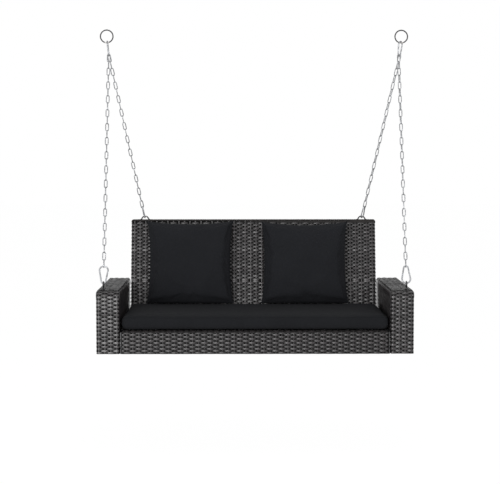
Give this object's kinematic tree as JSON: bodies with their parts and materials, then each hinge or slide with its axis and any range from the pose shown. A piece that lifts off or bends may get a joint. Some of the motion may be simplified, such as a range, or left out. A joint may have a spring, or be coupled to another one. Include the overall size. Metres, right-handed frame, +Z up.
{
  "type": "hanging porch swing seat",
  "caption": "Woven rattan bench with broad arms, a long seat cushion and two back pillows, hung from two fixed rings by chains and snap hooks.",
  "frame": {"origin": "middle of the swing line, on the lowest wire of the two hanging rings, midway between them", "axes": "+X along the swing line to the seat's right as seen from its front, +Y towards the back of the seat, +Z up"},
  "size_m": [1.34, 0.6404, 1.3673],
  "materials": {
    "rattan": "satin",
    "black_steel": "satin",
    "zinc": "satin",
    "cushion_cloth": "matte",
    "pillow_cloth": "matte"
  },
  "bodies": {
    "hangers": {"hanging_ring_left": "black_steel", "hanging_ring_right": "black_steel"},
    "swing": {"arm_bolt_left_1": "zinc", "arm_bolt_left_2": "zinc", "arm_bolt_left_3": "zinc", "arm_bolt_right_1": "zinc", "arm_bolt_right_2": "zinc", "arm_bolt_right_3": "zinc", "arm_frame_left": "black_steel", "arm_frame_right": "black_steel", "arm_weave_left": "rattan", "arm_weave_right": "rattan", "back_arch_left": "black_steel", "back_arch_right": "black_steel", "back_bolt_lower_left": "zinc", "back_bolt_lower_right": "zinc", "back_bolt_upper_left": "zinc", "back_bolt_upper_right": "zinc", "back_frame": "black_steel", "back_lower_rail": "black_steel", "back_stile_left": "black_steel", "back_stile_right": "black_steel", "back_weave": "rattan", "eye_bolt_left": "black_steel", "eye_bolt_right": "black_steel", "eye_nut_left": "zinc", "eye_nut_right": "zinc", "eye_washer_left": "black_steel", "eye_washer_right": "black_steel", "front_chain_left": "zinc", "front_chain_right": "zinc", "front_hook_left_body": "zinc", "front_hook_right_body": "zinc", "rear_chain_left": "zinc", "rear_chain_right": "zinc", "rear_hook_left_body": "zinc", "rear_hook_right_body": "zinc", "seat_cross_bar_left": "black_steel", "seat_cross_bar_right": "black_steel", "seat_lower_loop": "black_steel", "seat_post_front_left": "black_steel", "seat_post_front_right": "black_steel", "seat_post_rear_left": "black_steel", "seat_post_rear_right": "black_steel", "seat_upper_loop": "black_steel", "seat_weave": "rattan", "top_hook_left_body": "zinc", "top_hook_right_body": "zinc"},
    "seat_cushion_body": {"seat_cushion": "cushion_cloth"},
    "pillow_left_body": {"pillow_left": "pillow_cloth"},
    "pillow_right_body": {"pillow_right": "pillow_cloth"},
    "front_hook_left_gate": {"front_hook_left_gate": "zinc"},
    "front_hook_right_gate": {"front_hook_right_gate": "zinc"},
    "rear_hook_left_gate": {"rear_hook_left_gate": "zinc"},
    "rear_hook_right_gate": {"rear_hook_right_gate": "zinc"},
    "top_hook_left_gate": {"top_hook_left_gate": "zinc"},
    "top_hook_right_gate": {"top_hook_right_gate": "zinc"}
  },
  "joints": [
    {"name": "swing_pivot", "type": "hinge", "parent": "hangers", "child": "swing", "pos_m": [0, 0, 0], "axis": [1, 0, 0], "range_deg": [-25, 25]},
    {"name": "seat_cushion_lift", "type": "slide", "parent": "swing", "child": "seat_cushion_body", "axis": [0, 0, 1], "range_m": [0, 0.3]},
    {"name": "pillow_left_lift", "type": "slide", "parent": "seat_cushion_body", "child": "pillow_left_body", "axis": [0, 0.1908, 0.9816], "range_m": [0, 0.3]},
    {"name": "pillow_right_lift", "type": "slide", "parent": "seat_cushion_body", "child": "pillow_right_body", "axis": [0, 0.1908, 0.9816], "range_m": [0, 0.3]},
    {"name": "front_hook_left_gate_hinge", "type": "hinge", "parent": "swing", "child": "front_hook_left_gate", "pos_m": [-0.62191, -0.31028, -1.00808], "axis": [0, -0.9507, 0.3102], "range_deg": [0, 20], "stiffness_Nm_per_rad": 0.08, "springref_deg": -20.05},
    {"name": "front_hook_right_gate_hinge", "type": "hinge", "parent": "swing", "child": "front_hook_right_gate", "pos_m": [0.64207, -0.29553, -0.96289], "axis": [0, 0.9507, -0.3102], "range_deg": [0, 20], "stiffness_Nm_per_rad": 0.08, "springref_deg": -20.05},
    {"name": "rear_hook_left_gate_hinge", "type": "hinge", "parent": "swing", "child": "rear_hook_left_gate", "pos_m": [-0.50448, 0.25004, -0.72825], "axis": [-0.948, -0.1964, -0.2505], "range_deg": [0, 20], "stiffness_Nm_per_rad": 0.08, "springref_deg": -20.05},
    {"name": "rear_hook_right_gate_hinge", "type": "hinge", "parent": "swing", "child": "rear_hook_right_gate", "pos_m": [0.50675, 0.24915, -0.729], "axis": [-0.8184, 0.4721, 0.3276], "range_deg": [0, 20], "stiffness_Nm_per_rad": 0.08, "springref_deg": -20.05},
    {"name": "top_hook_left_gate_hinge", "type": "hinge", "parent": "swing", "child": "top_hook_left_gate", "pos_m": [-0.63251, 0.01006, -0.04399], "axis": [0.9945, 0, 0.1045], "range_deg": [0, 20], "stiffness_Nm_per_rad": 0.08, "springref_deg": -20.05},
    {"name": "top_hook_right_gate_hinge", "type": "hinge", "parent": "swing", "child": "top_hook_right_gate", "pos_m": [0.63865, 0.00795, -0.04463], "axis": [0.7853, -0.6136, -0.0825], "range_deg": [0, 20], "stiffness_Nm_per_rad": 0.08, "springref_deg": -20.05}
  ]
}
